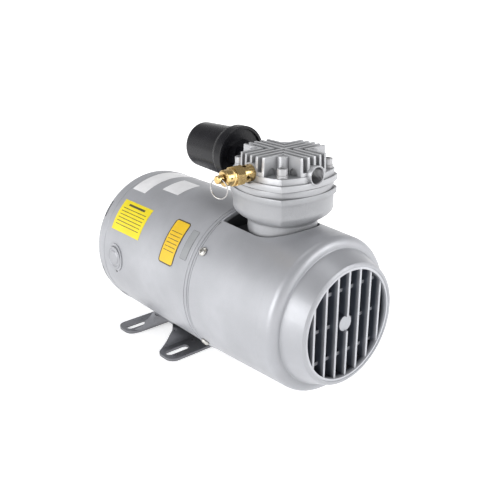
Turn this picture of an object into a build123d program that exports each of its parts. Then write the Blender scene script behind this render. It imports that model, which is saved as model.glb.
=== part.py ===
from build123d import *
import math
import os

os.makedirs("parts", exist_ok=True)

# ---------------------------------------------------------------- dimensions
# Millimetres.  +Z up, motor axis along Y, air intake grille facing -Y.
# Origin: on the floor plane, at the centre of the four base slots.

ZA = 76.2                 # shaft centre height (3.000 in)
R_SHELL = 71.0            # motor shell outer radius
R_SHELL_IN = 69.0
Y_SEAM = -79.75           # front face of the front end bell rim
Y_BAND = -72.75           # front end of the rolled shell
Y_REAR = 62.25            # rear end of the rolled shell
Y_BACK = 77.25            # back face of the rear end bell

SLOT_X = 107.95           # slot pitch across the motor
SLOT_Y = 69.85            # slot pitch along the motor
SLOT_L = 25.4             # slot length, end to end
SLOT_W = 8.7              # slot width
BASE_T = 2.5              # base sheet thickness

YH = -121.25              # head and crank centre
Z_FL = 170.2              # underside of the bowl flange
Z_VP = 174.7              # underside of the valve plate
Z_GK = 180.2              # top of the valve plate
Z_HD = 180.7              # underside of the cylinder head
Z_STEP = 185.6            # top of the head's base step
Z_LUG = 190.6             # top of the bolt lugs
Z_DECK = 193.7            # floor of the fin slots
Z_TOP = 205.6             # tips of the fins
Z_PORT = 190.7            # port axis height
R_PORT = 6.6              # 1/4 in pipe port
BOLT = 25.2               # head bolt position, each way
R_NECK = 29.5             # neck under the bowl
THROW = 2.5               # eccentric throw
Z_ECC = ZA - THROW        # eccentric centre, piston at the bottom of its stroke

R_FAN = 54.0
Y_FAN = -168.0

R_REAR = 7.4              # bore the filter screws into
Z_FILT = Z_PORT           # filter axis height
Z_RV = Z_PORT + 1.0       # relief valve axis height
X_V = -36.0               # face the relief valve screws into


# ---------------------------------------------------------------- helpers
def cyl_y(r, y0, y1, x=0.0, z=ZA):
    return Pos(x, (y0 + y1) / 2, z) * Rot(90, 0, 0) * Cylinder(r, abs(y1 - y0))


def cyl_x(r, x0, x1, y=0.0, z=ZA):
    return Pos((x0 + x1) / 2, y, z) * Rot(0, 90, 0) * Cylinder(r, abs(x1 - x0))


def cyl_z(r, z0, z1, x=0.0, y=0.0):
    return Pos(x, y, (z0 + z1) / 2) * Cylinder(r, abs(z1 - z0))


def box(x0, x1, y0, y1, z0, z1):
    return Pos((x0 + x1) / 2, (y0 + y1) / 2, (z0 + z1) / 2) * Box(abs(x1 - x0), abs(y1 - y0), abs(z1 - z0))


def rounded(pts):
    """Closed wire through points (u, v, radius), corners rounded by tangent arcs."""
    n = len(pts)
    segs = []
    for i in range(n):
        p0, p1, p2 = pts[i - 1], pts[i], pts[(i + 1) % n]
        r = p1[2]
        a = Vector(p0[0] - p1[0], p0[1] - p1[1])
        b = Vector(p2[0] - p1[0], p2[1] - p1[1])
        if r <= 0:
            segs.append((Vector(p1[0], p1[1]), None, Vector(p1[0], p1[1])))
            continue
        a, b = a.normalized(), b.normalized()
        ang = math.acos(max(-1, min(1, a.dot(b))))
        t = r / math.tan(ang / 2)
        s = Vector(p1[0], p1[1]) + a * t
        e = Vector(p1[0], p1[1]) + b * t
        bis = (a + b).normalized()
        m = Vector(p1[0], p1[1]) + bis * (r / math.sin(ang / 2) - r)
        segs.append((s, m, e))
    edges = []
    for i in range(n):
        s, m, e = segs[i]
        if m is not None:
            edges.append(ThreePointArc(s, m, e).edge())
        nxt = segs[(i + 1) % n][0]
        if (nxt - e).length > 1e-4:
            edges.append(Line(e, nxt).edge())
    return Face(Wire(edges))


def spin_y(pts, z=ZA, x=0.0):
    """Solid of revolution about the Y axis line at height z from (radius, y, corner radius)."""
    f = rounded([(p[0], p[1], p[2] if len(p) > 2 else 0) for p in pts])
    return Pos(x, 0, z) * revolve(f, Axis.Y, 360)


def spin_z(pts, x=0.0, y=0.0):
    """Solid of revolution about a vertical axis from (radius, z, corner radius)."""
    f = rounded([(p[0], p[1], p[2] if len(p) > 2 else 0) for p in pts])
    s = revolve(f, Axis.Y, 360)
    return Pos(x, y, 0) * Rot(90, 0, 0) * s


def spin_x(pts, y=0.0, z=0.0):
    """Solid of revolution about a line along X from (x, radius, corner radius)."""
    f = rounded([(p[0], p[1], p[2] if len(p) > 2 else 0) for p in pts])
    return Pos(0, y, z) * revolve(f, Axis.X, 360)


def plan(mid, cor, r_cor):
    """Square with bowed sides, centred on the origin."""
    cs = [(cor, -cor), (cor, cor), (-cor, cor), (-cor, -cor)]
    ms = [(mid, 0), (0, mid), (-mid, 0), (0, -mid)]
    arcs = [ThreePointArc(cs[i], ms[i], cs[(i + 1) % 4]).edge() for i in range(4)]
    f = Face(Wire(arcs))
    return f.fillet_2d(r_cor, f.vertices())


def slab(face, z0, z1, taper=0.0):
    return Pos(0, YH, z0) * extrude(face, amount=z1 - z0, dir=(0, 0, 1), taper=taper)


def around(shape, angles, z=ZA, x=0.0):
    """Copies of a shape turned about the line along Y at height z."""
    out = []
    for a in angles:
        out.append(Pos(x, 0, z) * Rot(0, a, 0) * Pos(-x, 0, -z) * shape)
    return out


def solids_of(s):
    return s.solids() if hasattr(s, "solids") else [s]


def group(items):
    out = []
    for i in items:
        out += list(solids_of(i))
    return Compound(children=out)


def save(name, shape):
    ss = list(solids_of(shape))
    obj = ss[0] if len(ss) == 1 else Compound(children=ss)
    export_step(obj, "parts/" + name + ".step")


CORNERS = [(1, 1), (-1, 1), (-1, -1), (1, -1)]

# ---------------------------------------------------------------- motor
# Rolled steel shell with a conduit knock-out hole on the -X side.
Y_KO, Z_KO = 41.25, 79.3
shell = cyl_y(R_SHELL, Y_BAND, Y_REAR) - cyl_y(R_SHELL_IN, Y_BAND - 1, Y_REAR + 1)
ko_ring = cyl_x(13.6, -60, -(R_SHELL + 0.9), y=Y_KO, z=Z_KO) - cyl_y(R_SHELL_IN, Y_BAND, Y_REAR)
ko_ring = ko_ring & cyl_y(R_SHELL + 0.9, Y_BAND, Y_REAR)
shell = shell + ko_ring
shell = shell - cyl_x(11.2, -60, -80, y=Y_KO, z=Z_KO)
shell = shell - cyl_x(1.6, -60, -80, y=Y_KO, z=ZA - 11.5)
vents = []
for s in (-1, 1):
    for k in range(3):
        a = math.radians(270 + s * (30 + 11 * k))
        v = Pos(0, 53.0, 0) * Box(14, 13, 3.4)
        v = Pos(R_SHELL * math.cos(a), 0, ZA + R_SHELL * math.sin(a)) * Rot(0, -math.degrees(a), 0) * v
        vents.append(v)
for v in vents:
    shell = shell - v
save("motor_shell", shell)

# Pressed steel disc that fills the knock-out.
plug = spin_x([(-72.6, 0), (-72.6, 6.2, 0.8), (-71.6, 7.4, 0.4), (-71.6, 9.0, 0.4), (-72.3, 9.8, 0.3),
               (-72.3, 11.0, 0.4), (-69.2, 11.0), (-69.2, 9.6, 0.4), (-70.2, 9.0), (-70.2, 7.0), (-71.2, 6.0), (-71.2, 0)],
              y=Y_KO, z=Z_KO)
save("conduit_knockout", plug)

BOLT_ANG = (45, 135, 225, 315)
R_TB = 62.0
# Rear end bell: spun rim, bearing pocket, cooling slots.
rear = spin_y([(17.52, 57.0), (23.0, 57.0, 1.0), (24.5, 70.0, 3.0), (66.0, 70.5, 3.0), (66.8, 56.3), (68.9, 56.3),
               (68.9, Y_REAR), (70.7, Y_REAR), (70.3, Y_BACK, 5.0), (30.0, Y_BACK, 2.0), (28.0, Y_BACK - 1.6, 2.0),
               (0.0, Y_BACK - 1.6), (0.0, 72.4), (17.52, 72.4)])
tb_hole = cyl_y(2.75, 50, 80, x=R_TB)
tb_pock = cyl_y(5.6, 73.6, 80, x=R_TB - 0.4)
for h in around(tb_hole, BOLT_ANG) + around(tb_pock, BOLT_ANG):
    rear = rear - h
for k in range(12):
    if k % 3 == 1:
        continue
    a = k * 30 + 0.0
    v = Pos(46, 74, ZA) * Box(24, 14, 5.2)
    rear = rear - (Pos(0, 0, ZA) * Rot(0, a, 0) * Pos(0, 0, -ZA) * v)
rim_slots = []
for a0 in (-20.0, 200.0, 143.0, 37.0, 232.0, 308.0):
    ring = cyl_y(75, 71.2, 72.9) - cyl_y(66.0, 70, 74)
    wedge = Pos(0, 72, ZA) * Rot(0, -a0, 0) * Pos(71, 0, 0) * Box(20, 6, 17)
    rim_slots.append(ring & wedge)
for r in rim_slots:
    rear = rear - r
save("rear_end_bell", rear)

# Front end bell: casting with the outer band, bearing boss, ribs and the lip that carries the shroud.
front = spin_y([(20.02, -83.0), (26.0, -83.0, 1.0), (27.5, Y_SEAM, 2.0), (66.2, Y_SEAM, 1.0), (66.2, -90.0), (68.3, -90.0),
                (68.3, Y_SEAM), (70.4, Y_SEAM, 0.6), (70.9, Y_SEAM + 1.2, 0.4), (70.0, Y_SEAM + 1.9, 0.3), (70.0, Y_SEAM + 2.7, 0.3),
                (70.9, Y_SEAM + 3.3, 0.4), (70.9, Y_BAND), (68.9, Y_BAND), (68.9, -66.8), (66.8, -66.8), (66.2, -74.0, 2.0),
                (26.0, -74.0, 2.0), (25.0, -66.5, 1.0), (20.02, -66.5)])
for h in around(cyl_y(2.75, -92, -60, x=R_TB), BOLT_ANG):
    front = front - h
for h in around(cyl_y(5.2, Y_SEAM - 0.01, -92, x=R_TB + 0.0), BOLT_ANG):
    front = front - h
front = front - box(-36, 36, -95, Y_SEAM, ZA + 55, ZA + 80)
for k in range(12):
    a = k * 30 + 15
    v = Pos(46, -77, ZA) * Box(26, 20, 8.0)
    if a in (255, 285):      # left solid where the pump housing bolts on
        continue
    front = front - (Pos(0, 0, ZA) * Rot(0, a, 0) * Pos(0, 0, -ZA) * v)
rib = box(26.5, 66.8, Y_SEAM - 3.2, Y_SEAM + 0.5, ZA - 1.5, ZA + 1.5)
for r in around(rib, [0, 180, 30, 60, 120, 150]):
    front = front + r
SCREW_ANG = (37, 143, 217, 323)
Y_SS = -84.6
for a in SCREW_ANG:
    s = Pos(0, Y_SS, ZA) * Rot(0, -a, 0) * Pos(67, 0, 0) * Rot(0, 90, 0) * Cylinder(1.95, 12)
    front = front - s
HS = [(-17, 123.0), (17, 123.0), (-17, 110.5), (17, 110.5)]     # housing screws
for (x, z) in HS:
    front = front + cyl_y(6.0, -83.15, Y_SEAM + 0.5, x=x, z=z)
for (x, z) in HS:
    front = front - cyl_y(2.5, -95, -73, x=x, z=z)
save("front_end_bell", front)

# Laminated stator core with 24 slots and four notches for the through bolts.
Y_ST0, Y_ST1 = -36.0, 26.0
core = cyl_y(68.93, Y_ST0, Y_ST1) - cyl_y(38.0, Y_ST0 - 1, Y_ST1 + 1)
cutters = []
for k in range(24):
    s = Pos(49.0, (Y_ST0 + Y_ST1) / 2, 0) * Box(14.0, Y_ST1 - Y_ST0 + 2, 5.2)
    m = Pos(40.0, (Y_ST0 + Y_ST1) / 2, 0) * Box(6.0, Y_ST1 - Y_ST0 + 2, 1.6)
    cutters.append(Pos(0, 0, ZA) * Rot(0, k * 15 + 7.5, 0) * (s + m))
for n in around(cyl_y(3.2, Y_ST0 - 1, Y_ST1 + 1, x=R_TB), BOLT_ANG) + around(box(R_TB, 75, Y_ST0 - 1, Y_ST1 + 1, ZA - 3.2, ZA + 3.2), BOLT_ANG):
    cutters.append(n)
core = core - cutters
save("stator_core", core)

# Copper winding: slot sides and the two bound end turns, one varnished mass.
wind = spin_y([(42.4, Y_ST1 + 0.4), (56.0, Y_ST1 + 0.4), (58.5, Y_ST1 + 8, 4.0), (56.0, Y_ST1 + 18, 5.0), (44.0, Y_ST1 + 18, 5.0)])
wind2 = spin_y([(42.4, Y_ST0 - 0.4), (44.0, Y_ST0 - 18, 5.0), (56.0, Y_ST0 - 18, 5.0), (58.5, Y_ST0 - 8, 4.0), (56.0, Y_ST0 - 0.4)])
bars = []
for k in range(24):
    s = Pos(49.0, (Y_ST0 + Y_ST1) / 2, 0) * Box(12.8, Y_ST1 - Y_ST0 + 2.4, 4.6)
    bars.append(Pos(0, 0, ZA) * Rot(0, k * 15 + 7.5, 0) * s)
wind = (wind + wind2) + bars
save("stator_windings", wind)

# Thermal protector strapped on the rear end turns.
tp = Pos(0, Y_ST1 + 21.2, ZA + 50) * Box(18, 6, 12)
save("thermal_protector", fillet(tp.edges().filter_by(Axis.Y), 2.0))

# Rotor: laminated core and its die-cast cage rings.
rot = cyl_y(37.4, Y_ST0, Y_ST1) - cyl_y(9.5, Y_ST0 - 1, Y_ST1 + 1)
save("rotor_core", rot)
cage = []
for (y0, d) in ((Y_ST0, -1), (Y_ST1, 1)):
    r = cyl_y(36.4, y0, y0 + d * 8) - cyl_y(24.0, y0 - 20, y0 + 20)
    f = []
    for k in range(8):
        f.append(Pos(0, 0, ZA) * Rot(0, k * 45, 0) * (Pos(30.5, y0 + d * 11.5, 0) * Box(9, 7.4, 2.2)))
    cage.append(r + f)
save("rotor_cage", group(cage))

# Shaft, carried by two ball bearings, extended through the crank to the fan.
shaft = spin_y([(0, 70.5), (6.9, 70.5, 0.6), (7.47, 69.6), (7.47, 57.5), (9.48, 57.5), (9.48, -66.0), (8.47, -66.0), (8.47, -81.6),
                (7.5, -81.6), (7.5, -177.2), (6.9, -178.0), (0, -178.0)])
shaft = shaft - box(-10, 10, -178.5, -157, ZA + 6.6, ZA + 9)
save("motor_shaft", shaft)


def ball_bearing(ri, ro, y0, y1):
    """Inner and outer races with a row of balls, drawn as one closed unit."""
    w = y1 - y0
    t = (ro - ri)
    a, b = ri + t * 0.30, ro - t * 0.30
    return spin_y([(ri, y0), (a, y0), (a, y0 + 0.9), (b, y0 + 0.9), (b, y0), (ro, y0), (ro, y1), (b, y1), (b, y1 - 0.9),
                   (a, y1 - 0.9), (a, y1), (ri, y1)])


save("rear_bearing", ball_bearing(7.5, 17.5, 58.0, 69.0))
save("front_bearing", ball_bearing(8.5, 20.0, -80.0, -68.0))

# Wave washer that loads the rear bearing.
ww = cyl_y(17.0, 69.3, 71.9) - cyl_y(12.5, 69.0, 73.0)
save("preload_washer", ww)

# Four through bolts clamp the bells on the shell; nuts at the front.
tb = cyl_y(2.4, -85.6, 73.6, x=R_TB) + Pos(R_TB, 75.3, ZA) * Rot(90, 0, 0) * extrude(RegularPolygon(4.6, 6), amount=1.65, both=True)
save("through_bolts", group(around(tb, BOLT_ANG)))
nut = Pos(R_TB, -82.0, ZA) * Rot(90, 0, 0) * (extrude(RegularPolygon(4.5, 6), amount=2.0, both=True) - Cylinder(2.45, 10))
save("through_bolt_nuts", group(around(nut, BOLT_ANG)))

# ---------------------------------------------------------------- base
# One stamped sheet: two feet, S-shaped legs and a saddle welded under the shell.
Y_SAD, Y_LEG, Y_FOOT = 14.0, 22.5, 48.6
R_SAD = R_SHELL + 0.02


def base_section(x):
    zs = ZA - math.sqrt(R_SAD ** 2 - min(abs(x), 50.0) ** 2)     # top of the saddle here
    h = zs - BASE_T                                              # rise over the feet
    t = BASE_T
    w = Y_LEG - Y_SAD
    top, bot = [], []

    def curve(y0, y1, za, zb, off):
        pts = []
        for i in range(9):
            s = i / 8
            e = s * s * (3 - 2 * s)
            pts.append((y0 + (y1 - y0) * s, za + (zb - za) * e))
        return pts

    # top line from the front foot to the rear foot, then the underside back
    edges = []

    def ln(p, q):
        edges.append(Line((x, p[0], p[1]), (x, q[0], q[1])).edge())

    def sp(pts):
        edges.append(Spline(*[(x, a, b) for a, b in pts], tangents=((0, pts[1][0] - pts[0][0], 0), (0, pts[-1][0] - pts[-2][0], 0))).edge())

    g = min(t * 0.9, h * 0.55) * 0.75      # legs are thickened sideways so the sheet keeps its gauge on the slope
    ln((-Y_FOOT, t), (-Y_LEG - g, t))
    sp(curve(-Y_LEG - g, -Y_SAD - g, t, t + h, 0))
    ln((-Y_SAD - g, t + h), (Y_SAD + g, t + h))
    sp(curve(Y_SAD + g, Y_LEG + g, t + h, t, 0))
    ln((Y_LEG + g, t), (Y_FOOT, t))
    ln((Y_FOOT, t), (Y_FOOT, 0))
    ln((Y_FOOT, 0), (Y_LEG, 0))
    sp(curve(Y_LEG, Y_SAD, 0, h, 0))
    ln((Y_SAD, h), (-Y_SAD, h))
    sp(curve(-Y_SAD, -Y_LEG, h, 0, 0))
    ln((-Y_LEG, 0), (-Y_FOOT, 0))
    ln((-Y_FOOT, 0), (-Y_FOOT, t))
    return Face(Wire(edges))


XS = [-76, -60, -50, -44, -36, -27, -18, -9, 0, 9, 18, 27, 36, 44, 50, 60, 76]
pieces = []
sheet = loft([base_section(x) for x in XS], ruled=True)
# plan outline: rounded feet, waist between them
HW, WST = 70.6, 44.5          # half widths over the feet and at the waist
outline = rounded([(HW, -48.6, 9.0), (HW, -25.0, 9.0), (WST, -18.6, 7.0), (WST, 18.6, 7.0), (HW, 25.0, 9.0), (HW, 48.6, 9.0),
                   (-HW, 48.6, 9.0), (-HW, 25.0, 9.0), (-WST, 18.6, 7.0), (-WST, -18.6, 7.0), (-HW, -25.0, 9.0), (-HW, -48.6, 9.0)])
sheet = sheet & (Pos(0, 0, -1) * extrude(outline, amount=60, dir=(0, 0, 1)))
slots = []
for sx in (-1, 1):
    for sy in (-1, 1):
        slots.append(Pos(sx * SLOT_X / 2, sy * SLOT_Y / 2, 0) * extrude(SlotOverall(SLOT_L, SLOT_W), amount=12, both=True))
sheet = sheet - slots
sheet = sheet - cyl_y(R_SAD, -60, 60)
save("base_bracket", sheet)

# ---------------------------------------------------------------- pump housing
bowl = slab(plan(38.6, 31.2, 1.4), Z_FL, Z_VP)
body = slab(plan(37.2, 29.7, 3.0), 149.0, Z_FL)
try:
    body = fillet(body.faces().sort_by(Axis.Z)[0].edges(), 9.5)
    print("bowl: filleted")
except Exception as err:
    print("bowl fillet failed", err)
    body = body & spin_z([(0, 149.0), (27, 149.0), (42.5, 160.0, 12), (42.5, 171), (0, 171)], y=YH)
lip = slab(plan(37.9, 30.5, 2.0), Z_FL - 1.2, Z_FL)
neck = cyl_z(R_NECK, 114.0, 150.5, y=YH)
try:
    neck_f = spin_z([(0, 114.0), (R_NECK, 114.0), (R_NECK, 148.0, 3.0), (R_NECK + 3.5, 150.5), (0, 150.5)], y=YH)
    neck = neck_f
except Exception as err:
    print("neck", err)
housing = bowl + lip + body + neck
# rear flange and webs down to the end bell
flange = box(-33, 33, -89.0, -83.15, 103.0, 132.0)
flange = fillet(flange.edges().filter_by(Axis.Y), 6.0)
webs = box(-29.0, -25.0, YH + 10, -83.15, 116, 134) + box(25.0, 29.0, YH + 10, -83.15, 116, 134)
top_web = box(-29.0, 29.0, -98, -83.15, 129.0, 132.0)
housing = housing + flange + webs + top_web
# inside: diaphragm seat, chamber, neck bore
housing = housing - cyl_z(31.0, Z_VP - 1.5, Z_VP + 1, y=YH)
housing = housing - spin_z([(0, 113), (25.0, 113), (25.0, 152.0, 3.0), (27.0, 157.0, 3.0), (27.0, Z_VP - 1.4), (0, Z_VP - 1.4)], y=YH)
for sx, sy in CORNERS:
    housing = housing - cyl_z(2.5, 160.5, Z_VP + 1, x=sx * BOLT, y=YH + sy * BOLT)
for (x, z) in HS:
    housing = housing - cyl_y(2.8, -95, -80, x=x, z=z)
housing = housing - cyl_y(9.2, -95, -80)
housing = housing - cyl_y(28.2, -92, -82)
save("diaphragm_housing", housing)

hsc = []
for (x, z) in HS:
    b = cyl_y(2.45, -89.0, -74.5, x=x, z=z) + cyl_y(4.25, -94.0, -89.0, x=x, z=z)
    b = b - Pos(x, -93.0, z) * Rot(90, 0, 0) * extrude(RegularPolygon(2.3, 6), amount=1.6, both=True)
    hsc.append(b)
save("housing_screws", group(hsc))

# Valve plate between bowl and head.
vp = slab(plan(38.3, 29.4, 2.0), Z_VP, Z_GK)
vp = vp - cyl_z(24.0, Z_VP - 1, 178.4, y=YH)


def loc(p, q, z=0.0):
    """Point in the valve frame: p along the head's partition, q towards the outlet half."""
    c = math.sqrt(0.5)
    return (p * c - q * c, YH - p * c - q * c, z)


for q in (12.7, -12.7):
    x, y, _ = loc(7.0, q)
    vp = vp - cyl_z(2.6, 170, 185, x=x, y=y)
    x, y, _ = loc(-9.0, q)
    vp = vp - cyl_z(1.02, 170, 185, x=x, y=y)
for sx, sy in CORNERS:
    vp = vp - cyl_z(2.7, 170, 185, x=sx * BOLT, y=YH + sy * BOLT)
save("valve_plate", vp)


def reed(q, z0, z1):
    r = extrude(Pos(-0.5, 0) * SlotOverall(24.0, 8.0), amount=z1 - z0)
    r = r - Pos(-9.0, 0, 0) * Cylinder(1.35, 4)
    c = loc(0, q)
    return Pos(c[0], c[1], z0) * Rot(0, 0, -45) * r


save("outlet_reed", reed(12.7, Z_GK + 0.02, Z_GK + 0.32))
save("inlet_reed", reed(-12.7, 178.4 - 0.32, 178.4 - 0.02))


def rivet(q, zs, d):
    x, y, _ = loc(-9.0, q)
    return cyl_z(1.0, zs - d * 1.7, zs + d * 1.5, x=x, y=y) + cyl_z(2.2, zs + d * 0.7, zs + d * 1.5, x=x, y=y)


save("reed_rivets", group([rivet(12.7, Z_GK, 1), rivet(-12.7, 178.4, -1)]))

# Head gasket with two windows.

def dee_cut(side, z0, z1, r=23.5, w=2.4):
    """Half disc on one side of the partition; side -1 is the outlet half."""
    b = Pos(0, YH, (z0 + z1) / 2) * Rot(0, 0, -45) * (Pos(0, side * (w + r / 2 + 1), 0) * Box(2.4 * r, r + 2, z1 - z0))
    return cyl_z(r, z0, z1, y=YH) & b


gk = slab(plan(38.0, 29.2, 2.0), Z_GK, Z_HD)
gk = gk - dee_cut(1, Z_GK - 1, Z_HD + 1) - dee_cut(-1, Z_GK - 1, Z_HD + 1)
for sx, sy in CORNERS:
    gk = gk - cyl_z(2.8, 170, 190, x=sx * BOLT, y=YH + sy * BOLT)
save("head_gasket", gk)

# ---------------------------------------------------------------- cylinder head
FIN, PITCH = 2.4, 6.5
base = slab(plan(38.6, 31.2, 1.2), Z_HD, Z_STEP)
upper = slab(plan(36.2, 29.2, 1.0), Z_STEP - 0.2, Z_TOP, taper=3.0)
P_IN = 2 * PITCH + FIN / 2          # outer side of the outermost fin
keep = box(-P_IN, P_IN, YH - 45, YH + 45, Z_STEP - 0.2, Z_TOP) + box(-45, 45, YH - P_IN, YH + P_IN, Z_STEP - 0.2, Z_TOP)
upper = upper & keep
# raised lugs for the bolts
lugs = slab(plan(36.7, 29.5, 1.2), Z_STEP - 0.2, Z_LUG)
cols = []
for sx, sy in CORNERS:
    c = cyl_z(5.4, Z_LUG - 1, Z_TOP - 0.7, x=sx * (P_IN + 1.4), y=YH + sy * (P_IN + 1.4))
    cols.append(c)
head = base + upper + lugs + cols
cut = []
for k in (0, 1):
    lo = k * PITCH + FIN / 2
    hi = (k + 1) * PITCH - FIN / 2
    for sx, sy in CORNERS:
        a = box(sx * lo, sx * 45, YH + sy * lo, YH + sy * 45, Z_DECK, Z_TOP + 1)
        b = box(sx * hi, sx * 45, YH + sy * hi, YH + sy * 45, Z_DECK - 1, Z_TOP + 2)
        cut.append(a - b)
head = head - cut
Y_PF = YH - 39.2           # face of the open port
bosses = [cyl_y(7.9, Y_PF, YH - 24, z=Z_PORT), cyl_y(8.6, YH + 37.4, YH + 24, z=Z_PORT),
          cyl_x(8.2, X_V, -24, y=YH, z=Z_RV), cyl_x(8.2, 36.6, 24, y=YH, z=Z_RV)]
head = head + bosses
# spot faces for the valve and the filter
head = head - cyl_x(8.4, X_V, -46, y=YH, z=Z_RV)
head = head - cyl_y(9.1, YH + 37.4, YH + 46, z=Z_PORT)
# cored recesses at the foot of each pocket wall
R_REC = 4.1
for sx, sy in CORNERS:
    rec = box(sx * 22.0, sx * 30.2, YH + sy * (P_IN - 1.6), YH + sy * 17.0, Z_LUG + 0.05, Z_LUG + 1.7)
    rec = rec + cyl_y(R_REC, YH + sy * (P_IN - 1.6), YH + sy * 17.0, x=sx * 26.1, z=Z_LUG + 1.7)
    rec = rec - box(-60, 60, YH - 60, YH + 60, 170, Z_LUG + 0.05)
    head = head - rec
    rec = box(sx * (P_IN - 1.6), sx * 17.0, YH + sy * 22.0, YH + sy * 30.2, Z_LUG + 0.05, Z_LUG + 1.7)
    rec = rec + cyl_x(R_REC, sx * (P_IN - 1.6), sx * 17.0, y=YH + sy * 26.1, z=Z_LUG + 1.7)
    rec = rec - box(-60, 60, YH - 60, YH + 60, 170, Z_LUG + 0.05)
    head = head - rec
# ports and the two chambers
head = head - cyl_y(R_PORT, YH - 41, YH - 21.8, z=Z_PORT)
head = head - spin_y([(0, Y_PF - 0.5), (7.75, Y_PF - 0.5), (6.6, Y_PF + 0.65), (0, Y_PF + 0.65)], z=Z_PORT)
head = head - cyl_y(R_REAR, YH + 40, YH + 20.6, z=Z_PORT)
head = head - cyl_x(R_PORT, -42, -20.0, y=YH, z=Z_RV)
head = head - dee_cut(1, Z_HD - 1, 190.2, r=22.5, w=2.2) - dee_cut(-1, Z_HD - 1, 190.2, r=22.5, w=2.2)
for sx, sy in CORNERS:
    head = head - cyl_z(2.7, 170, 200, x=sx * BOLT, y=YH + sy * BOLT)
save("cylinder_head", head)

bolts, washers, lockw = [], [], []
for sx, sy in CORNERS:
    x, y = sx * BOLT, YH + sy * BOLT
    b = cyl_z(2.42, 161.5, 193.2, x=x, y=y)
    hd = spin_z([(0, 193.0), (4.25, 193.0, 0.3), (4.25, 198.4, 0.6), (0, 198.4)], x=x, y=y)
    b = b + hd
    b = b - Pos(x, y, 197.2) * extrude(RegularPolygon(2.31, 6), amount=1.9, both=True)
    bolts.append(b)
    washers.append(cyl_z(4.9, Z_LUG, Z_LUG + 1.0, x=x, y=y) - cyl_z(2.65, 180, 200, x=x, y=y))
    lw = cyl_z(4.5, Z_LUG + 1.0, 193.0, x=x, y=y) - cyl_z(2.6, 180, 200, x=x, y=y)
    lw = lw - (Pos(x, y, 192.3) * Rot(0, 0, 20) * Rot(0, 20, 0) * Pos(4, 0, 0) * Box(4.4, 0.7, 6))
    lockw.append(lw)
save("head_bolts", group(bolts))
save("head_washers", group(washers))
save("head_lock_washers", group(lockw))

# ---------------------------------------------------------------- drive inside the pump
# Eccentric hub with counterweight, clamped on the shaft by a set screw.
ecc = cyl_y(12.48, YH - 7.0, YH + 7.0, z=Z_ECC) + cyl_y(15.0, YH + 7.0, YH + 17.0)
cw = (cyl_y(33.0, YH + 8.0, YH + 16.0) & box(-26, 26, YH, YH + 20, ZA + 4, ZA + 40))
ecc = ecc + cw + cyl_y(13.8, YH + 6.2, YH + 7.2, z=Z_ECC)
ecc = ecc - cyl_y(7.52, YH - 20, YH + 30)
ecc = ecc - cyl_z(2.0, ZA - 20, ZA - 5, y=YH + 12)
save("eccentric", ecc)
save("eccentric_set_screw", cyl_z(1.95, ZA - 14.6, ZA - 7.6, y=YH + 12) - (Pos(0, YH + 12, ZA - 14.6) * extrude(RegularPolygon(1.1, 6), amount=2, both=True)))


def bearing_at(ri, ro, y0, y1, z):
    t = (ro - ri)
    a, b = ri + t * 0.30, ro - t * 0.30
    return spin_y([(ri, y0), (a, y0), (a, y0 + 0.9), (b, y0 + 0.9), (b, y0), (ro, y0), (ro, y1), (b, y1), (b, y1 - 0.9),
                   (a, y1 - 0.9), (a, y1), (ri, y1)], z=z)


save("eccentric_bearing", bearing_at(12.53, 23.5, YH - 6.0, YH + 6.0, Z_ECC))

# Connecting rod: big end, shank and the flange under the diaphragm plate.
Z_DB = 168.0               # underside of the diaphragm centre at the bottom of the stroke
rod = cyl_y(28.5, YH - 6.0, YH + 6.0, z=Z_ECC) - cyl_y(23.5, YH - 8, YH + 8, z=Z_ECC)
shank = Pos(0, YH, 0) * extrude(Plane.XZ * make_face(Polyline((-11, Z_ECC + 24), (11, Z_ECC + 24), (7, Z_DB - 9), (-7, Z_DB - 9), close=True)), amount=5.0, both=True)
shank = shank - cyl_y(23.5, YH - 8, YH + 8, z=Z_ECC)
rod = rod + shank + spin_z([(0, Z_DB - 9.5), (7, Z_DB - 9.5), (11, Z_DB - 4.0, 1), (11, Z_DB - 4.0 + 0.0), (0, Z_DB - 4.0)][:3] + [(0, Z_DB - 4.0)], y=YH)
rod = rod - cyl_z(2.5, Z_DB - 20, Z_DB, y=YH)
save("connecting_rod", rod)
save("lower_diaphragm_plate", spin_z([(2.6, Z_DB - 4.0), (15.0, Z_DB - 4.0), (18.0, Z_DB, 1.2), (2.6, Z_DB)], y=YH))
dia = spin_z([(2.6, Z_DB), (20.0, Z_DB, 2.0), (25.0, Z_VP - 1.5, 1.2), (30.8, Z_VP - 1.5), (30.8, Z_VP), (24.3, Z_VP, 1.2),
              (19.2, Z_DB + 1.5, 2.0), (2.6, Z_DB + 1.5)], y=YH)
save("diaphragm", dia)
save("upper_diaphragm_plate", spin_z([(2.6, Z_DB + 1.5), (18.0, Z_DB + 1.5, 0.8), (18.0, Z_DB + 3.5, 0.8), (5.2, Z_DB + 3.5), (2.6, Z_DB + 1.6)], y=YH))
scr = spin_z([(0, Z_DB - 16), (2.45, Z_DB - 16), (2.45, Z_DB + 1.55), (4.95, Z_DB + 3.45), (0, Z_DB + 3.45)], y=YH)
scr = scr - Pos(0, YH, Z_DB + 3.5) * extrude(RegularPolygon(1.8, 6), amount=1.6, both=True)
save("diaphragm_screw", scr)

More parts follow.
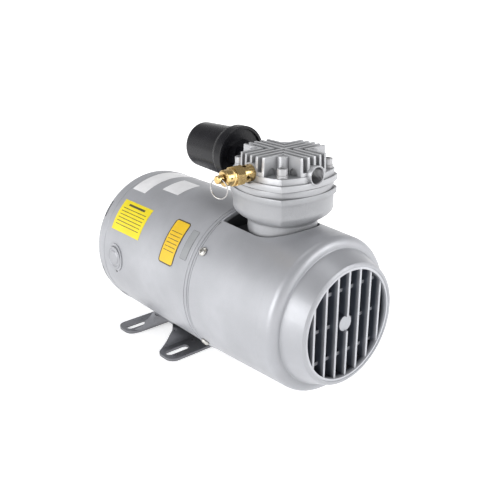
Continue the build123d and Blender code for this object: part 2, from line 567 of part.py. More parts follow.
# ---------------------------------------------------------------- shroud, grille, fan
R_RIM, Y_RIM = 50.9, -200.85
outer = [(71.0, -80.3, 0.0), (67.7, -172.6, 0.0), (67.4, -181.6, 7.6), (58.6, -182.2, 1.0), (57.6, -184.8, 2.0), (52.0, Y_RIM + 1.2, 1.0), (R_RIM - 0.6, Y_RIM, 0.8)]
inner = [(48.6, Y_RIM, 0.5), (48.6, Y_RIM + 6.2), (49.4, Y_RIM + 6.2), (54.6, -184.6, 2.0), (56.6, -179.6, 2.0), (64.6, -178.8, 5.0), (65.2, -172.6), (68.45, -94.0), (68.45, -80.3)]
shroud = spin_y(outer + inner)
NW = 31.6                  # half width of the U cut-out round the chamber neck
u_cut = make_face(Polyline((-NW, YH), (-NW, -60.0), (NW, -60.0), (NW, YH)) + ThreePointArc((NW, YH), (0, YH - NW), (-NW, YH)))
shroud = shroud - Pos(0, 0, ZA + 20) * extrude(u_cut, amount=80)
for a in SCREW_ANG:
    s = Pos(0, Y_SS, ZA) * Rot(0, -a, 0) * Pos(70, 0, 0) * Rot(0, 90, 0) * Cylinder(2.2, 12)
    shroud = shroud - s
save("fan_shroud", shroud)

ss = []
for a in SCREW_ANG:
    sc = spin_z([(0, -5.5), (1.9, -5.5), (1.9, 0), (4.0, 0), (4.0, 1.0, 0.3), (2.6, 2.5, 1.4), (0, 2.7)])
    sc = sc - (Pos(0, 0, 2.6) * (Box(4.0, 0.9, 2.4) + Box(0.9, 4.0, 2.4)))
    ss.append(Pos(0, Y_SS, ZA) * Rot(0, -a, 0) * Pos(71.0, 0, 0) * Rot(0, 90, 0) * sc)
save("shroud_screws", group(ss))

# Grille moulding pressed in the rim: ring, seven deep blades, three cross ribs, hub.
G_PITCH = 12.7
Y_BAR = -198.9
g_ring = cyl_y(48.58, Y_RIM + 0.6, Y_RIM + 6.2) - cyl_y(46.6, Y_RIM - 1, Y_RIM + 20)
bars = []
for i in range(-3, 4):
    x = i * G_PITCH
    bars.append(box(x - 1.0, x + 1.0, Y_BAR, Y_BAR + 12.5, ZA - 50, ZA + 50))
for j in (-1, 0, 1):
    bars.append(box(-50, 50, Y_BAR + 6.5, Y_BAR + 12.0, ZA + j * 28.4 - 1.5, ZA + j * 28.4 + 1.5))
g = None
for b in bars:
    g = b if g is None else g + b
g = g & cyl_y(47.4, Y_BAR, Y_BAR + 13)
g = g - box(-1.1, 1.1, Y_BAR - 1, Y_BAR + 2.6, ZA - 6.5, ZA + 6.5)
g = g + (cyl_y(6.9, Y_BAR + 2.5, Y_BAR + 12.5)) + g_ring
save("intake_grille", g)

# Cooling fan on the end of the shaft.
fan = cyl_y(17.0, Y_FAN - 8.0, Y_FAN + 8.0) + cyl_y(13.0, Y_FAN + 8.0, Y_FAN + 12)
for k in range(8):
    b = Pos(0, Y_FAN, ZA) * Rot(0, k * 45, 0) * Pos(34.5, 0, 0) * Rot(38, 0, 0) * Box(39.0, 2.0, 21)
    fan = fan + b
fan = fan & cyl_y(R_FAN, Y_FAN - 9.0, Y_FAN + 12)
fan = fan - cyl_y(7.52, Y_FAN - 20, Y_FAN + 20)
fan = fan - cyl_z(1.9, ZA, ZA + 40, y=Y_FAN + 9.6)
save("cooling_fan", fan)
save("fan_set_screw", cyl_z(1.85, ZA + 7.6, ZA + 12.6, y=Y_FAN + 9.6))

# ---------------------------------------------------------------- intake filter
YF0 = YH + 37.4            # rear port face
fb = spin_y([(0, YF0 - 12), (7.3, YF0 - 12), (7.3, YF0), (8.6, YF0), (8.6, YF0 + 7.0), (9.0, -66.6, 0.8), (22.0, -66.6, 0.5),
             (22.0, -68.5, 0.3), (24.9, -68.5, 0.7), (24.9, -59.6, 0.7), (22.9, -59.6), (22.9, -62.0), (0, -62.0)], z=Z_FILT)
hexb = Pos(0, -69.5, Z_FILT) * Rot(90, 0, 0) * Rot(0, 0, 20) * extrude(RegularPolygon(13.6, 6), amount=3.2, both=True)
fb = fb + hexb
fb = fb - cyl_y(4.2, YF0 - 15, -60.0, z=Z_FILT)
save("filter_base", fb)
fe = spin_y([(7.0, -61.8), (18.6, -61.8), (17.4, -18.6), (7.0, -18.6)], z=Z_FILT)
save("filter_element", fe)
fc = spin_y([(22.7, -61.6), (22.7, -59.2), (23.4, -59.2), (22.9, -56.5, 1.0), (21.9, -54.5, 1.0), (20.25, -11.3, 4.0), (0, -11.3), (0, -13.8), (18.2, -13.8, 2.5),
             (19.8, -53.0), (19.8, -61.6)], z=Z_FILT)
save("filter_cover", fc)

# ---------------------------------------------------------------- relief valve
zv = Z_RV
vb = spin_x([(X_V + 11, 0), (X_V + 11, 6.5), (X_V, 6.5), (X_V, 7.0, 0.3), (-46.8, 7.0), (-46.8, 6.0), (-56.0, 6.0), (-56.0, 0)], y=YH, z=zv)
hexv = Pos(-50.6, YH, zv) * Rot(0, 90, 0) * Rot(0, 0, 12) * extrude(RegularPolygon(8.7, 6), amount=4.0, both=True)
hexv = hexv & spin_x([(-46.6, 0), (-46.6, 7.9), (-47.3, 8.7), (-53.9, 8.7), (-54.6, 7.9), (-54.6, 0)], y=YH, z=zv)
vb = vb + hexv
vb = vb - cyl_x(3.2, -38.6, -20, y=YH, z=zv) - cyl_x(5.0, -58, -38.6, y=YH, z=zv)
for ang in (282, 12, 102, 192):
    vb = vb - (Pos(-43.9, YH, zv) * Rot(ang, 0, 0) * Pos(0, -6, 0) * Rot(90, 0, 0) * Cylinder(1.8, 6))
save("relief_valve_body", vb)
vc = spin_x([(-54.7, 6.05), (-54.7, 7.2), (-56.4, 7.2), (-57.0, 6.5), (-62.7, 6.5), (-63.8, 5.3), (-63.8, 2.3), (-62.2, 2.3), (-62.2, 5.0),
             (-56.1, 5.0), (-56.1, 6.05)], y=YH, z=zv)
for ang in (353, 113, 233):
    vc = vc - (Pos(-59.8, YH, zv) * Rot(ang, 0, 0) * Pos(0, -6, 0) * Rot(90, 0, 0) * Cylinder(0.8, 4))
save("relief_valve_cap", vc)
# Poppet, stem and pull knob in one turning, pulled along -X.
X_RING = -67.4
vs = spin_x([(-39.0, 0), (-39.0, 3.9, 0.3), (-41.2, 3.9, 0.3), (-41.2, 2.1), (-64.4, 2.1), (-64.4, 3.3, 0.5), (-70.2, 3.3, 1.2), (-70.2, 0)], y=YH, z=zv)
vs = vs - (Pos(X_RING, YH, zv) * Rot(0, 0, 17) * Rot(90, 0, 0) * Cylinder(1.45, 12))
save("relief_poppet", vs)
hx = Helix(pitch=3.55, height=21.3, radius=3.55)
sec = Plane(origin=hx @ 0, z_dir=hx % 0) * Circle(0.45)
spring = sweep(sec, path=hx)
spring = Pos(-41.2 - 0.2, YH, zv) * Rot(0, -90, 0) * spring
spring = spring & cyl_x(9, -62.1, -41.25, y=YH, z=zv)
save("relief_spring", spring)
# Split pull ring, hanging in the knob's cross hole.
R_RING, R_WIRE = 7.9, 0.55
ring = Rot(90, 0, 0) * Torus(R_RING, R_WIRE)
ring = Pos(X_RING, YH, zv - R_RING + 0.6) * Rot(0, 0, 107) * ring
save("pull_ring", ring)


# ---------------------------------------------------------------- labels, all blank
def label(y0, y1, a0, a1, t=0.18):
    """Curved film on the shell between y0 and y1; angles from +X, over the top."""
    ring = cyl_y(R_SHELL + 0.02 + t, y0, y1) - cyl_y(R_SHELL + 0.02, y0 - 1, y1 + 1)
    pts = [(0, 0)]
    n = 6
    for i in range(n + 1):
        a = math.radians(a0 + (a1 - a0) * i / n)
        pts.append((120 * math.cos(a), 120 * math.sin(a)))
    f = make_face(Polyline(*pts, close=True))
    w = Pos(0, (y0 + y1) / 2, ZA) * Rot(90, 0, 0) * extrude(f, amount=abs(y1 - y0) / 2 + 1, both=True)
    return ring & w


def lab(xm0, xm1, a0, a1):
    return label(-(xm1 + 79.75), -(xm0 + 79.75), a0, a1)


save("label_side_rear", lab(-133.6, -86.0, 130.2, 156.0))
save("label_side_front", lab(-48.8, -27.4, 128.2, 162.8))
save("label_grey_strip", lab(-20.8, -11.6, 131.5, 154.0))
save("labels_top", group([lab(-138.5, -117.0, 66.0, 119.5), lab(-102.6, -77.0, 88.0, 109.5)]))
print("done")
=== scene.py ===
import math

import bpy
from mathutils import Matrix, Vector


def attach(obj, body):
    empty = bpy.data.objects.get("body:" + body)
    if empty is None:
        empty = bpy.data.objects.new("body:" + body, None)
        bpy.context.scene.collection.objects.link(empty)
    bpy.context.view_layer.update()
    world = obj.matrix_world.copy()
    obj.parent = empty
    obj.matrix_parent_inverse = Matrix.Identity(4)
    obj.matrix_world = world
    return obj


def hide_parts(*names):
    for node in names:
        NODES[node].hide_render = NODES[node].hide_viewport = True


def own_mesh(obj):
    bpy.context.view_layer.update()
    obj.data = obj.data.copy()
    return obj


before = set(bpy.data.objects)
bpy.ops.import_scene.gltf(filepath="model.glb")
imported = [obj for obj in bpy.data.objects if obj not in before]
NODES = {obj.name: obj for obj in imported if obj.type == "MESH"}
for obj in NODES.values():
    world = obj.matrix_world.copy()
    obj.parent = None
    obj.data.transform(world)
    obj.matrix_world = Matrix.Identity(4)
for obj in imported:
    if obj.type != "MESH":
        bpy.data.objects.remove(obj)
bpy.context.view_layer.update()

ZA = 0.0762                # motor axis height
YH = -0.12125              # chamber axis
scene = bpy.context.scene

# ------------------------------------------------------------------ node helpers


class Mat:
    """A node-based material with short calls for the usual nodes."""

    def __init__(self, name):
        self.m = bpy.data.materials.new(name)
        self.m.use_nodes = True
        self.nt = self.m.node_tree
        self.nt.nodes.clear()
        self.out = self.nt.nodes.new("ShaderNodeOutputMaterial")
        self.b = self.nt.nodes.new("ShaderNodeBsdfPrincipled")
        self.nt.links.new(self.b.outputs["BSDF"], self.out.inputs["Surface"])
        self.co = self.nt.nodes.new("ShaderNodeTexCoord").outputs["Object"]
        self.bumps = []

    def link(self, a, b):
        self.nt.links.new(a, b)

    def set(self, **kw):
        for k, v in kw.items():
            self.b.inputs[k.replace("_", " ")].default_value = v
        return self

    def stretch(self, x=1.0, y=1.0, z=1.0, rz=0.0):
        n = self.nt.nodes.new("ShaderNodeMapping")
        n.inputs["Scale"].default_value = (x, y, z)
        n.inputs["Rotation"].default_value = (0, 0, rz)
        self.link(self.co, n.inputs["Vector"])
        return n.outputs["Vector"]

    def noise(self, scale, detail=3.0, rough=0.5, vec=None, distortion=0.0, colour=False):
        n = self.nt.nodes.new("ShaderNodeTexNoise")
        n.inputs["Scale"].default_value = scale
        n.inputs["Detail"].default_value = detail
        n.inputs["Roughness"].default_value = rough
        n.inputs["Distortion"].default_value = distortion
        self.link(vec or self.co, n.inputs["Vector"])
        return n.outputs["Color" if colour else "Fac"]

    def voronoi(self, scale, vec=None, feature="F1", out="Distance"):
        n = self.nt.nodes.new("ShaderNodeTexVoronoi")
        n.feature = feature
        n.inputs["Scale"].default_value = scale
        self.link(vec or self.co, n.inputs["Vector"])
        return n.outputs[out]

    def ramp(self, fac, stops):
        n = self.nt.nodes.new("ShaderNodeValToRGB")
        el = n.color_ramp.elements
        while len(el) < len(stops):
            el.new(0.5)
        for e, (p, c) in zip(el, stops):
            e.position = p
            e.color = (c, c, c, 1) if isinstance(c, (int, float)) else (*c, 1)
        self.link(fac, n.inputs["Fac"])
        return n.outputs["Color"]

    def mapr(self, fac, a, b, c, d):
        n = self.nt.nodes.new("ShaderNodeMapRange")
        for k, v in zip(("From Min", "From Max", "To Min", "To Max"), (a, b, c, d)):
            n.inputs[k].default_value = v
        self.link(fac, n.inputs["Value"])
        return n.outputs["Result"]

    def math(self, op, a, b=None, c=None):
        n = self.nt.nodes.new("ShaderNodeMath")
        n.operation = op
        for i, v in enumerate((a, b, c)):
            if v is None:
                continue
            if isinstance(v, (int, float)):
                n.inputs[i].default_value = v
            else:
                self.link(v, n.inputs[i])
        return n.outputs[0]

    def mix(self, fac, a, b, mode="MIX"):
        n = self.nt.nodes.new("ShaderNodeMix")
        n.data_type = "RGBA"
        n.blend_type = mode
        ins = {s.identifier: s for s in n.inputs}
        outs = {s.identifier: s for s in n.outputs}
        for v, key in ((fac, "Factor_Float"), (a, "A_Color"), (b, "B_Color")):
            s = ins[key]
            if isinstance(v, (int, float)):
                s.default_value = v if key == "Factor_Float" else (v, v, v, 1)
            elif isinstance(v, (tuple, list)):
                s.default_value = (*v, 1)
            else:
                self.link(v, s)
        return outs["Result_Color"]

    def xyz(self, vec=None):
        n = self.nt.nodes.new("ShaderNodeSeparateXYZ")
        self.link(vec or self.co, n.inputs[0])
        return n.outputs["X"], n.outputs["Y"], n.outputs["Z"]

    def crease(self, distance=0.004):
        """How open the surface is here, 1 in the open and 0 deep in a corner."""
        n = self.nt.nodes.new("ShaderNodeAmbientOcclusion")
        n.samples = 6
        n.inputs["Distance"].default_value = distance
        return n.outputs["AO"]

    def bump(self, height, strength, distance):
        n = self.nt.nodes.new("ShaderNodeBump")
        n.inputs["Strength"].default_value = strength
        n.inputs["Distance"].default_value = distance
        self.link(height, n.inputs["Height"])
        if self.bumps:
            self.link(self.bumps[-1], n.inputs["Normal"])
        self.bumps.append(n.outputs["Normal"])
        return self

    def done(self, colour=None, rough=None, metal=None):
        for v, key in ((colour, "Base Color"), (rough, "Roughness"), (metal, "Metallic")):
            if v is not None:
                self.link(v, self.b.inputs[key])
        if self.bumps:
            self.link(self.bumps[-1], self.b.inputs["Normal"])
        return self.m


def paint(name, base, rough=0.36, metal=0.0, peel=0.05, coat=0.0, crease_shade=0.25, cast=0.0, bores=False, deep=None, calm=1.0, inside=False):
    """Sprayed silver-grey enamel: fine flake, orange peel, rougher in its corners, with painted shade darkening them;
    cast adds the skin of a die casting.
    """
    m = Mat(name)
    big = m.noise(14.0, 3.0, 0.55)
    mid = m.noise(120.0, 4.0, 0.6)
    fine = m.noise(2600.0, 2.0, 0.7)
    dark = tuple(c * (1.0 - 0.14 * calm) for c in base)
    light = tuple(min(1.0, c * (1.0 + 0.08 * calm)) for c in base)
    col = m.mix(m.mapr(big, 0.35, 0.68, 0.0, 1.0), dark, light)
    col = m.mix(m.mapr(mid, 0.4, 0.75, 0.0, 0.22 * calm), col, tuple(c * 0.9 for c in base))
    col = m.mix(m.mapr(fine, 0.45, 0.8, 0.0, 0.35 * calm), col, tuple(min(1, c * 1.35) for c in base))
    ao = m.crease(0.005)
    # painted shade: the colour is darkened in corners and creases by the occlusion value
    col = m.mix(m.mapr(ao, 0.55, 0.95, crease_shade, 0.0), col, tuple(c * 0.42 for c in base))
    r = m.math("ADD", m.mapr(mid, 0.3, 0.7, rough - 0.035, rough + 0.05), m.mapr(ao, 0.4, 0.95, 0.16, 0.0))
    if cast:
        m.bump(m.noise(420.0, 5.0, 0.65), cast, 0.0004)
        m.bump(m.voronoi(900.0), cast * 0.35, 0.0002)
    m.bump(m.noise(650.0, 2.0, 0.5), peel, 0.0003)
    m.set(Metallic=metal, Coat_Weight=coat, Coat_Roughness=0.12)
    met = None
    if inside:                     # painted shade inside the shroud: surfaces within its bore are darkened to near black
        x, y, z = m.xyz()
        dz = m.math("SUBTRACT", z, ZA)
        rad = m.math("SQRT", m.math("ADD", m.math("MULTIPLY", x, x), m.math("MULTIPLY", dz, dz)))
        here = m.math("MULTIPLY", m.mapr(rad, 0.0665, 0.0680, 1.0, 0.0),
                      m.math("MULTIPLY", m.math("GREATER_THAN", y, -0.165), m.math("LESS_THAN", y, -0.0755)))
        col = m.mix(m.math("MULTIPLY", here, 0.92), col, (0.022, 0.023, 0.027))
    if deep:                       # painted shade towards the back of a deep moulding: faces that don't face forward darken with depth to a dark blue-grey
        x, y, z = m.xyz()
        tn = m.nt.nodes.new("ShaderNodeTexCoord").outputs["Normal"]
        nx, ny, nz = m.xyz(tn)
        front = m.mapr(ny, -0.9, -0.6, 0.22, 1.0)
        col = m.mix(m.math("MULTIPLY", m.mapr(y, deep[0], deep[1], 0.0, 1.0), front), col, deep[2])
    if bores:                      # tapped holes are left bare and bright, with their threads; the threads are painted in light and dark bands as painted highlight and shade
        x, y, z = m.xyz()
        xs = m.math("MULTIPLY", x, x)
        dz = m.math("SUBTRACT", z, 0.1907)
        far = m.math("SQRT", m.math("ADD", xs, m.math("MULTIPLY", dz, dz)))
        bare = m.math("MULTIPLY", m.math("LESS_THAN", far, 0.00668), m.math("LESS_THAN", y, -0.1412))
        thread = m.math("ABSOLUTE", m.math("SUBTRACT", m.math("FRACT", m.math("MULTIPLY", y, 714.0)), 0.5))
        thread_light_and_shade = m.mix(m.mapr(thread, 0.1, 0.45, 0.0, 1.0), (0.50, 0.50, 0.51), (0.20, 0.20, 0.21))
        col = m.mix(bare, col, thread_light_and_shade)
        r = m.math("ADD", m.math("MULTIPLY", r, m.math("SUBTRACT", 1.0, bare)), m.math("MULTIPLY", bare, 0.30))
        met = m.mapr(bare, 0.0, 1.0, metal, 0.9)
        m.bump(m.math("MULTIPLY", thread, bare), 0.9, 0.0012)
    return m.done(col, r, met)


def metal(name, base, rough=0.28, turned=0.0, stain=0.3, scratch=0.2, axis="x"):
    """Bare metal with tool marks along one direction, faint stains and fine scratches."""
    m = Mat(name)
    s = {"x": (1600.0, 60.0, 60.0), "y": (60.0, 1600.0, 60.0), "z": (60.0, 60.0, 1600.0)}[axis]
    lines = m.noise(1.0, 3.0, 0.6, m.stretch(*s))
    blot = m.noise(160.0, 4.0, 0.6)
    fine = m.noise(1900.0, 2.0, 0.6)
    col = m.mix(m.mapr(blot, 0.4, 0.72, 0.0, stain), base, tuple(c * 0.55 for c in base))
    col = m.mix(m.mapr(lines, 0.3, 0.7, 0.0, 0.25), col, tuple(min(1, c * 1.25) for c in base))
    ao = m.crease(0.003)
    # painted shade: the colour is darkened in corners and creases by the occlusion value
    col = m.mix(m.mapr(ao, 0.45, 0.95, 0.55, 0.0), col, tuple(c * 0.3 for c in base))
    r = m.math("ADD", m.mapr(blot, 0.35, 0.7, rough, rough + 0.16), m.mapr(fine, 0.3, 0.7, -0.04, 0.06))
    if turned:
        m.bump(lines, turned, 0.0002)
    if scratch:
        m.bump(m.noise(1.0, 2.0, 0.5, m.stretch(240.0, 2200.0, 240.0, 0.7)), scratch * 0.3, 0.00008)
    m.set(Metallic=1.0)
    return m.done(col, r)


def plastic(name, base, rough=0.42, grain=0.15, scale=900.0, spec=0.5):
    """Moulded plastic: fine spark-eroded grain, slight shine differences and dust in corners."""
    m = Mat(name)
    big = m.noise(35.0, 3.0, 0.6)
    fine = m.noise(scale, 3.0, 0.6)
    col = m.mix(m.mapr(big, 0.35, 0.7, 0.0, 1.0), tuple(c * 0.8 for c in base), tuple(min(1, c * 1.25) for c in base))
    ao = m.crease(0.004)
    col = m.mix(m.mapr(ao, 0.4, 0.95, 0.25, 0.0), col, tuple(c * 2.5 + 0.004 for c in base))
    r = m.mapr(m.math("ADD", big, fine), 0.7, 1.3, rough - 0.07, rough + 0.08)
    m.bump(fine, grain, 0.00015)
    m.bump(m.noise(60.0, 2.0, 0.5), 0.03, 0.002)
    m.b.inputs["Specular IOR Level"].default_value = spec
    return m.done(col, r)


# ------------------------------------------------------------------ materials

GREY = (0.405, 0.412, 0.435)
M = {}
M["grey_paint"] = paint("grey_paint", GREY, rough=0.41, metal=0.38, peel=0.06, coat=0.12, inside=True)
M["base_paint"] = paint("base_paint", (0.24, 0.243, 0.26), rough=0.30, metal=0.75, peel=0.03, coat=0.2, crease_shade=0.6, calm=0.35)
M["grille_paint"] = paint("grille_paint", (0.52, 0.53, 0.56), rough=0.36, metal=0.3, peel=0.05, coat=0.2, deep=(-0.1990, -0.1950, (0.085, 0.097, 0.125)))
M["cast_head"] = paint("cast_head", (0.46, 0.465, 0.48), rough=0.38, metal=0.45, peel=0.05, coat=0.1, crease_shade=0.5, cast=0.34, bores=True)
M["cast_plate"] = paint("cast_plate", (0.40, 0.405, 0.42), rough=0.38, metal=0.45, peel=0.05, coat=0.1, crease_shade=0.5, cast=0.2)
M["cast_housing"] = paint("cast_housing", (0.365, 0.37, 0.385), rough=0.38, metal=0.45, peel=0.06, coat=0.12, crease_shade=0.45, cast=0.5, inside=True)
M["head_fasteners"] = paint("head_fasteners", (0.46, 0.46, 0.47), rough=0.36, metal=0.45, peel=0.06, coat=0.2, crease_shade=0.5)
M["zinc_fasteners"] = metal("zinc_fasteners", (0.60, 0.59, 0.56), rough=0.3, stain=0.35)
M["ground_steel"] = metal("ground_steel", (0.58, 0.58, 0.59), rough=0.18, turned=0.2, axis="y")
M["spring_steel"] = metal("spring_steel", (0.42, 0.41, 0.40), rough=0.2, stain=0.15)
M["reed_steel"] = metal("reed_steel", (0.36, 0.38, 0.43), rough=0.25, stain=0.2)
M["brass"] = metal("brass", (0.70, 0.50, 0.22), rough=0.17, turned=0.25, stain=0.25, axis="x")
M["cast_iron"] = paint("cast_iron", (0.10, 0.10, 0.10), rough=0.5, metal=0.8, peel=0.05, cast=0.5)
M["rod_aluminium"] = paint("rod_aluminium", (0.60, 0.60, 0.61), rough=0.4, metal=0.9, peel=0.04, cast=0.3)
M["rotor_aluminium"] = paint("rotor_aluminium", (0.60, 0.60, 0.61), rough=0.35, metal=0.9, peel=0.04, cast=0.2)
M["black_plastic"] = plastic("black_plastic", (0.007, 0.007, 0.009), rough=0.24, grain=0.12, spec=0.28)
M["fan_plastic"] = plastic("fan_plastic", (0.022, 0.022, 0.024), rough=0.45, grain=0.2)
M["protector_plastic"] = plastic("protector_plastic", (0.04, 0.035, 0.03), rough=0.5, grain=0.2)
M["diaphragm_rubber"] = plastic("diaphragm_rubber", (0.02, 0.02, 0.02), rough=0.62, grain=0.35, scale=1500.0)
M["gasket"] = plastic("gasket", (0.05, 0.045, 0.04), rough=0.75, grain=0.4, scale=2200.0)


def laminations():
    m = Mat("lamination_steel")
    x, y, z = m.xyz()
    saw = m.math("FRACT", m.math("MULTIPLY", y, 1600.0))
    line = m.mapr(m.math("ABSOLUTE", m.math("SUBTRACT", saw, 0.5)), 0.36, 0.46, 0.0, 1.0)
    blot = m.noise(90.0, 4.0, 0.6)
    col = m.mix(m.mapr(blot, 0.35, 0.7, 0.0, 1.0), (0.16, 0.16, 0.17), (0.27, 0.27, 0.29))
    col = m.mix(m.math("MULTIPLY", line, 0.6), col, (0.03, 0.03, 0.03))
    m.bump(line, 0.35, 0.0002)
    m.set(Metallic=0.85)
    return m.done(col, m.mapr(blot, 0.3, 0.7, 0.38, 0.55))


def windings():
    m = Mat("copper_winding")
    w = m.nt.nodes.new("ShaderNodeTexWave")
    w.wave_type = "RINGS"
    w.rings_direction = "Y"
    w.inputs["Scale"].default_value = 420.0
    w.inputs["Distortion"].default_value = 3.0
    w.inputs["Detail"].default_value = 2.0
    w.inputs["Detail Scale"].default_value = 0.6
    shift = m.nt.nodes.new("ShaderNodeVectorMath")
    shift.operation = "SUBTRACT"
    shift.inputs[1].default_value = (0, 0, ZA)
    m.link(m.co, shift.inputs[0])
    m.link(shift.outputs[0], w.inputs["Vector"])
    blot = m.noise(200.0, 3.0, 0.6)
    col = m.mix(w.outputs["Fac"], (0.20, 0.055, 0.02), (0.66, 0.26, 0.10))
    col = m.mix(m.mapr(blot, 0.4, 0.7, 0.0, 0.4), col, (0.12, 0.04, 0.015))
    m.bump(w.outputs["Fac"], 0.8, 0.0006)
    m.set(Metallic=0.7)
    return m.done(col, m.mapr(blot, 0.3, 0.7, 0.25, 0.4))


def felt():
    m = Mat("filter_felt")
    fib = m.noise(1500.0, 4.0, 0.7, m.stretch(1.0, 0.35, 1.0))
    blot = m.noise(140.0, 3.0, 0.6)
    col = m.mix(m.mapr(fib, 0.3, 0.7, 0.0, 1.0), (0.52, 0.50, 0.42), (0.78, 0.76, 0.69))
    col = m.mix(m.mapr(blot, 0.4, 0.7, 0.0, 0.4), col, (0.42, 0.40, 0.34))
    m.bump(fib, 0.6, 0.0004)
    m.set(Sheen_Weight=0.3)
    return m.done(col, m.mapr(fib, 0.3, 0.7, 0.8, 0.95))


M["lamination_steel"] = laminations()
M["copper_winding"] = windings()
M["filter_felt"] = felt()


def film(name, base, ink, y0, y1, a0, a1, border=0.0, rules=(), corner=0.0012, gloss=0.3):
    """Blank printed film on the motor shell between y0 and y1 (m) and the angles a0 to a1 (degrees from +X over the top).
    border is the width of a plain printed frame, rules are (from, to, thickness) of plain lines along Y given in metres
    down from the upper edge, and corner is the radius of the frame's corners."""
    m = Mat(name)
    x, y, z = m.xyz()
    ang = m.math("ARCTAN2", m.math("SUBTRACT", z, ZA), x)
    arc = m.math("MULTIPLY", ang, 0.0711)              # metres round the shell
    lo, hi = math.radians(a0) * 0.0711, math.radians(a1) * 0.0711
    down = m.math("SUBTRACT", arc, lo)                 # metres from the upper edge
    dy = m.math("MINIMUM", m.math("SUBTRACT", y, y0), m.math("SUBTRACT", y1, y))
    da = m.math("MINIMUM", down, m.math("SUBTRACT", hi, arc))
    cy = m.math("MAXIMUM", m.math("SUBTRACT", corner, dy), 0.0)
    ca = m.math("MAXIMUM", m.math("SUBTRACT", corner, da), 0.0)
    edge = m.math("SUBTRACT", corner, m.math("SQRT", m.math("ADD", m.math("MULTIPLY", cy, cy), m.math("MULTIPLY", ca, ca))))
    mask = None
    if border:
        mask = m.math("LESS_THAN", edge, border)
    for start, along0, along1, thick in rules:
        band = m.math("LESS_THAN", m.math("ABSOLUTE", m.math("SUBTRACT", down, start)), thick / 2)
        inside = m.math("LESS_THAN", m.math("ABSOLUTE", m.math("SUBTRACT", y, (along0 + along1) / 2)), abs(along1 - along0) / 2)
        one = m.math("MULTIPLY", band, inside)
        mask = one if mask is None else m.math("MAXIMUM", mask, one)
    fib = m.noise(1300.0, 3.0, 0.6)
    big = m.noise(70.0, 3.0, 0.6)
    col = m.mix(m.mapr(big, 0.35, 0.7, 0.0, 1.0), tuple(c * 0.93 for c in base), tuple(min(1, c * 1.04) for c in base))
    col = m.mix(m.mapr(fib, 0.45, 0.75, 0.0, 0.12), col, tuple(c * 0.8 for c in base))
    if mask is not None:
        col = m.mix(m.math("MULTIPLY", mask, 0.96), col, ink)
        m.bump(mask, 0.08, 0.00005)
    if border:                     # the film's corners are rounded off, so the shell's paint shows outside them
        col = m.mix(m.math("LESS_THAN", edge, 0.0), col, GREY)
    m.bump(m.noise(160.0, 2.0, 0.5), 0.10, 0.0006)
    m.bump(fib, 0.04, 0.0001)
    m.set(Coat_Weight=0.25, Coat_Roughness=0.2)
    return m.done(col, m.mapr(big, 0.3, 0.7, gloss, gloss + 0.12))


def along(xm):
    return -(xm + 79.75) / 1000.0


LAB = {
    "label_side_rear": (along(-86.0), along(-133.6), 130.2, 156.0),
    "label_side_front": (along(-27.4), along(-48.8), 128.2, 162.8),
    "label_grey_strip": (along(-11.6), along(-20.8), 131.5, 154.0),
}
y0, y1, a0, a1 = LAB["label_side_rear"]
M["label_yellow"] = film("label_yellow", (0.80, 0.655, 0.004), (0.03, 0.03, 0.02), y0, y1, a0, a1, border=0.0,
                         rules=[(0.0042, y0 + 0.010, y1 - 0.010, 0.0022)] + [(0.0085 + 0.0034 * i, y0 + 0.004, y1 - 0.004, 0.0007) for i in range(6)])
y0, y1, a0, a1 = LAB["label_side_front"]
M["label_amber"] = film("label_amber", (0.78, 0.50, 0.012), (0.035, 0.03, 0.02), y0, y1, a0, a1, border=0.0012, corner=0.0032,
                        rules=[(0.0125 + 0.0036 * i, y0 + 0.003, y1 - 0.003, 0.0006) for i in range(6)])
y0, y1, a0, a1 = LAB["label_grey_strip"]
M["label_grey"] = film("label_grey", (0.30, 0.31, 0.32), (0.12, 0.12, 0.12), y0, y1, a0, a1, border=0.0003)
M["label_white"] = film("label_white", (0.86, 0.86, 0.87), (0.1, 0.1, 0.1), -1, 1, -180, 180)


SLOT = {
    "grey_paint": "motor_shell conduit_knockout rear_end_bell front_end_bell fan_shroud",
    "base_paint": "base_bracket", "grille_paint": "intake_grille",
    "cast_head": "cylinder_head", "cast_plate": "valve_plate", "cast_housing": "diaphragm_housing",
    "lamination_steel": "stator_core rotor_core", "copper_winding": "stator_windings", "rotor_aluminium": "rotor_cage",
    "ground_steel": "motor_shaft front_bearing rear_bearing preload_washer eccentric_bearing",
    "zinc_fasteners": "through_bolts through_bolt_nuts shroud_screws housing_screws diaphragm_screw eccentric_set_screw fan_set_screw reed_rivets",
    "head_fasteners": "head_bolts head_washers head_lock_washers",
    "cast_iron": "eccentric", "rod_aluminium": "connecting_rod lower_diaphragm_plate upper_diaphragm_plate",
    "diaphragm_rubber": "diaphragm", "reed_steel": "inlet_reed outlet_reed", "gasket": "head_gasket",
    "black_plastic": "filter_base filter_cover", "fan_plastic": "cooling_fan", "protector_plastic": "thermal_protector",
    "filter_felt": "filter_element", "brass": "relief_valve_body relief_valve_cap relief_poppet",
    "spring_steel": "relief_spring pull_ring", "label_yellow": "label_side_rear", "label_amber": "label_side_front",
    "label_grey": "label_grey_strip", "label_white": "labels_top",
}
for slot, names in SLOT.items():
    for n in names.split():
        o = NODES[n]
        o.data.materials.clear()
        o.data.materials.append(M[slot])
